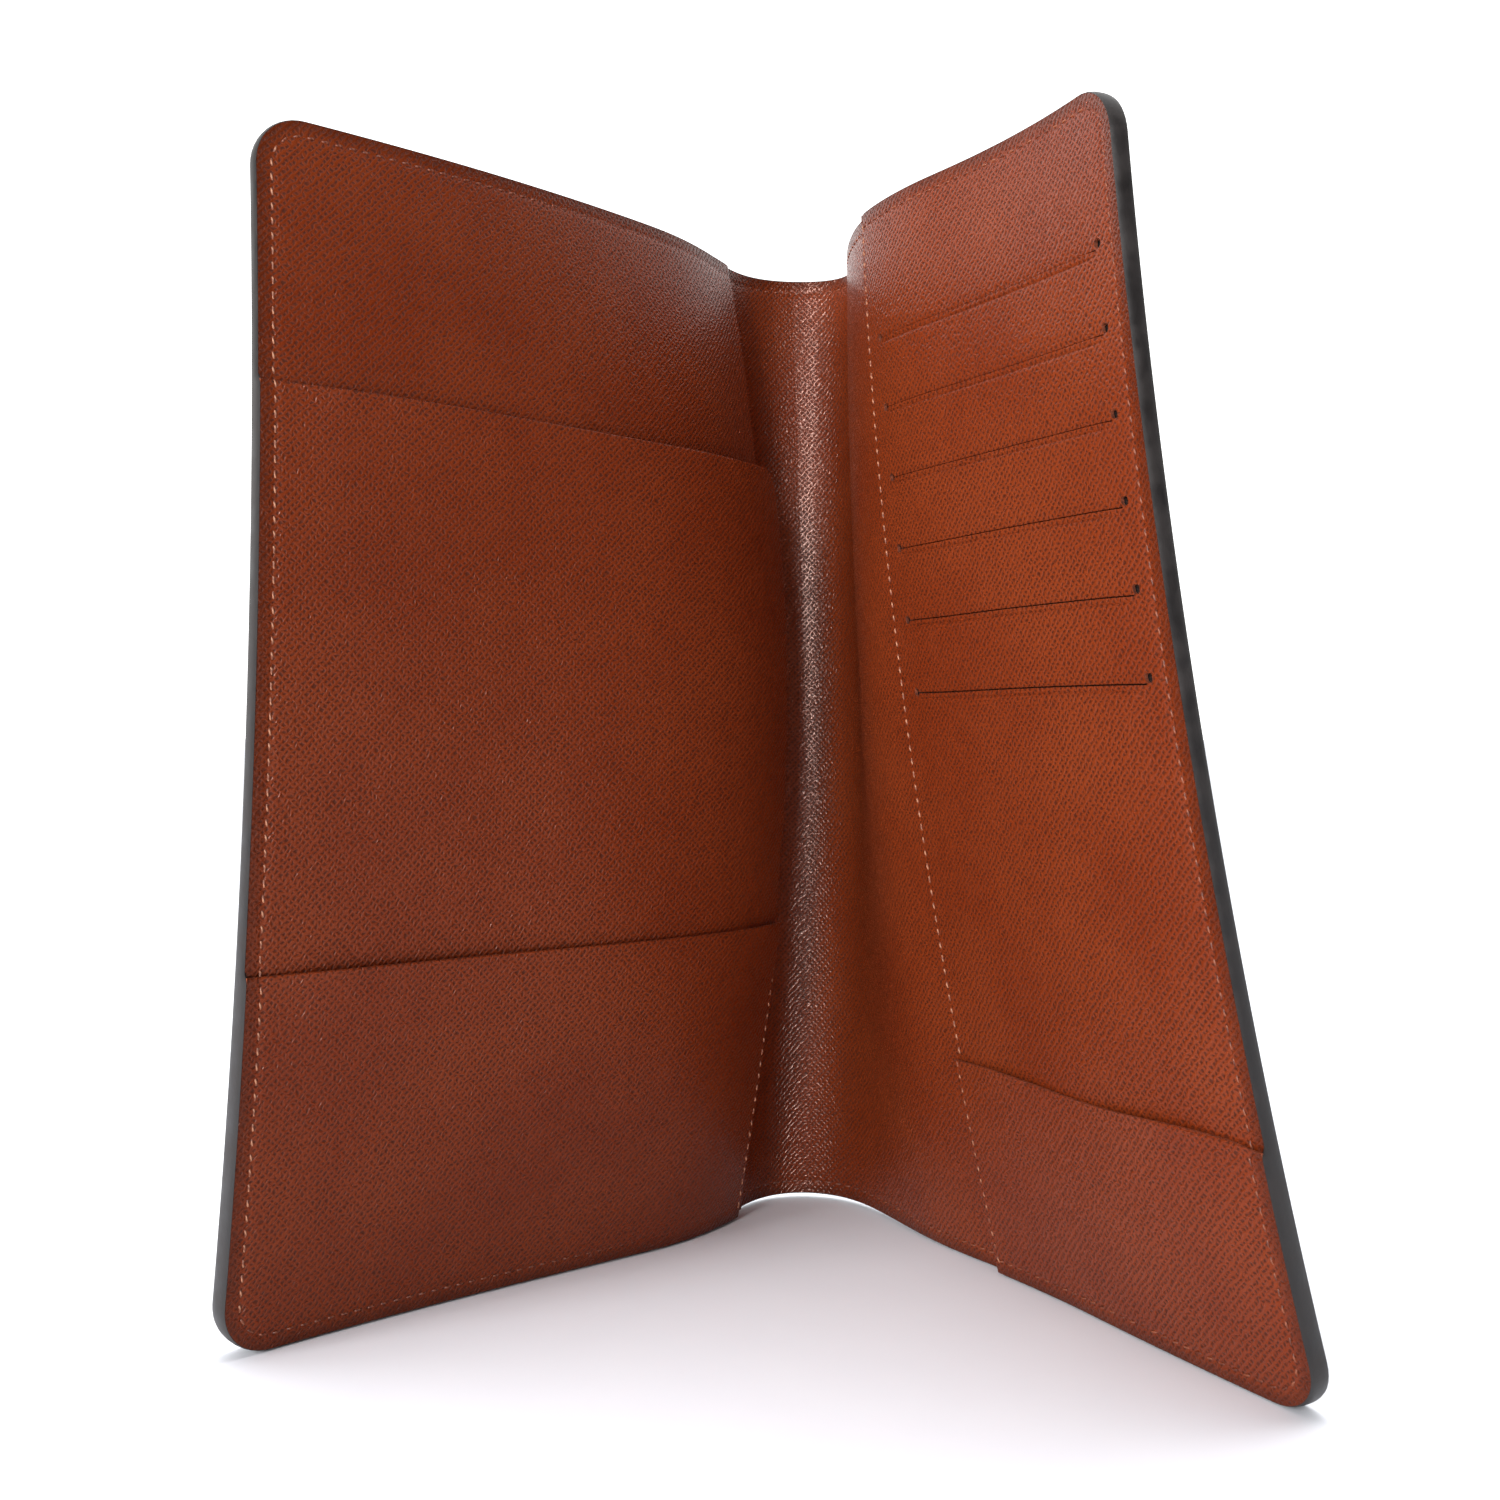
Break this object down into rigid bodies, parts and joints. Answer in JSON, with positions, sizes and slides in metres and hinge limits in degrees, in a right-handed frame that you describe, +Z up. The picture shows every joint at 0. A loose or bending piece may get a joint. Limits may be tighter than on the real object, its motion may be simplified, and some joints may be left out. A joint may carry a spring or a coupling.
{
  "type": "passport holder wallet",
  "caption": "Long leather passport wallet standing open in a V, with slip pockets inside the left cover and a panel of card slots inside the right cover.",
  "frame": {"origin": "on the floor under the middle of the open wallet's bounding box", "axes": "+Z up along the spine, +Y from the open side towards the spine, +X from the slip-pocket cover towards the card cover"},
  "size_m": [0.1584, 0.1059, 0.1905],
  "materials": {
    "lining_leather": "cross-grain embossed, satin",
    "outer_leather": "cross-grain embossed, satin",
    "edge_paint": "dark painted edge, low sheen",
    "thread": "waxed thread",
    "stiffener_board": "plain bonded board",
    "pocket_fabric": "thin woven lining cloth"
  },
  "bodies": {
    "spine": {"spine_cover": "outer_leather", "spine_reinforcement": "stiffener_board", "spine_lining": "lining_leather", "spine_stitching": "thread"},
    "left_cover": {"left_outer_cover": "outer_leather", "left_stiffener_board": "stiffener_board", "left_lining": "lining_leather", "left_slip_pocket": "lining_leather", "passport_pocket": "lining_leather", "left_lower_pocket": "lining_leather", "left_perimeter_stitching": "thread", "left_pocket_side_stitching": "thread", "left_edge_paint": "edge_paint"},
    "fold_strip": {"fold_strip_cover": "outer_leather", "fold_strip_lining": "lining_leather"},
    "card_cover": {"right_outer_cover": "outer_leather", "right_stiffener_board": "stiffener_board", "right_lining": "lining_leather", "card_pocket_1": "pocket_fabric", "card_pocket_2": "pocket_fabric", "card_pocket_3": "pocket_fabric", "card_pocket_4": "pocket_fabric", "card_pocket_5": "pocket_fabric", "card_pocket_6": "pocket_fabric", "card_panel": "lining_leather", "right_lower_pocket": "lining_leather", "right_perimeter_stitching": "thread", "card_panel_side_stitching": "thread", "right_edge_paint": "edge_paint"}
  },
  "joints": [
    {"name": "left_fold", "type": "hinge", "parent": "spine", "child": "left_cover", "pos_m": [-0.01321, 0.04451, 0.095], "axis": [0, 0, 1], "range_deg": [-53.3, 30]},
    {"name": "right_fold", "type": "hinge", "parent": "spine", "child": "fold_strip", "pos_m": [0.01078, 0.04451, 0.095], "axis": [0, 0, -1], "range_deg": [-57.3, 22]},
    {"name": "right_lean", "type": "hinge", "parent": "fold_strip", "child": "card_cover", "pos_m": [0.02554, 0.01167, 0.09457], "axis": [-0.6074, 0.7944, 0], "range_deg": [0, 8.8]}
  ]
}
